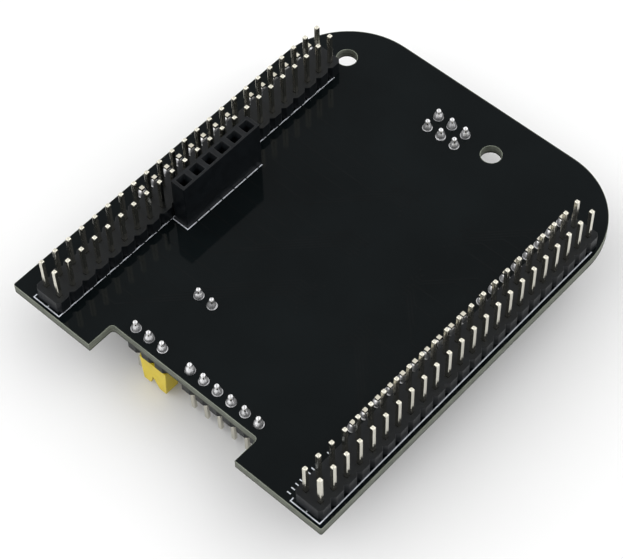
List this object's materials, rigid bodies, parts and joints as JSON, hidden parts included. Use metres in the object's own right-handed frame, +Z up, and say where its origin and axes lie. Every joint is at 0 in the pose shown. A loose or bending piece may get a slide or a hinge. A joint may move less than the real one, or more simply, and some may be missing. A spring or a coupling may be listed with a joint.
{
  "type": "shield adapter circuit board",
  "caption": "Black adapter circuit board with long double-row pin headers on one face, shield sockets on the other, a notched edge and a removable jumper cap.",
  "frame": {"origin": "under the middle of the board, on the plane that the long sockets stand on", "axes": "+Z up out of the solder face with the long pin headers, +Y along the headers from the notched edge to the rounded edge, +X across the board"},
  "size_m": [0.0578, 0.069, 0.019],
  "materials": {
    "board": "gloss solder mask",
    "header_plastic": "satin moulded",
    "socket_plastic": "satin moulded",
    "tinned_pin": "bright tin plate",
    "contact": "plated spring metal",
    "solder": "bright solder",
    "cap_plastic": "satin moulded",
    "chip_case": "matte moulded",
    "capacitor_ceramic": "fired ceramic",
    "resistor_glaze": "glazed",
    "lamp_base": "matte",
    "lamp_lens": "clear resin"
  },
  "bodies": {
    "board": {"circuit_board": "board", "left_header_body": "header_plastic", "left_header_pins": "tinned_pin", "left_header_solder": "solder", "right_header_body": "header_plastic", "right_header_pins": "tinned_pin", "right_header_solder": "solder", "programming_header_body": "header_plastic", "programming_header_pins": "tinned_pin", "programming_header_solder": "solder", "jumper_header_body": "header_plastic", "jumper_header_pins": "tinned_pin", "jumper_header_solder": "solder", "serial_header_body": "header_plastic", "serial_header_pins": "tinned_pin", "serial_header_solder": "solder", "link_header_body": "header_plastic", "link_header_pins": "tinned_pin", "link_header_solder": "solder", "power_socket_body": "socket_plastic", "power_socket_contacts": "contact", "power_socket_solder": "solder", "analog_socket_body": "socket_plastic", "analog_socket_contacts": "contact", "analog_socket_solder": "solder", "digital_high_socket_body": "socket_plastic", "digital_high_socket_contacts": "contact", "digital_high_socket_solder": "solder", "digital_low_socket_body": "socket_plastic", "digital_low_socket_contacts": "contact", "digital_low_socket_solder": "solder", "side_socket_body": "socket_plastic", "side_socket_contacts": "contact", "side_socket_solder": "solder", "level_shifter_1_case": "chip_case", "level_shifter_1_leads": "tinned_pin", "level_shifter_2_case": "chip_case", "level_shifter_2_leads": "tinned_pin", "level_shifter_3_case": "chip_case", "level_shifter_3_leads": "tinned_pin", "memory_chip_case": "chip_case", "memory_chip_leads": "tinned_pin", "chip_capacitors": "capacitor_ceramic", "capacitor_terminals": "solder", "chip_resistors": "resistor_glaze", "resistor_terminals": "solder", "indicator_lamp_base": "lamp_base", "indicator_lamp_lens": "lamp_lens"},
    "jumper_cap": {"jumper_cap_shell": "cap_plastic", "jumper_cap_clip": "contact"}
  },
  "joints": [
    {"name": "jumper_cap_pull", "type": "slide", "parent": "board", "child": "jumper_cap", "axis": [0, 0, -1], "range_m": [0, 0.006]}
  ]
}
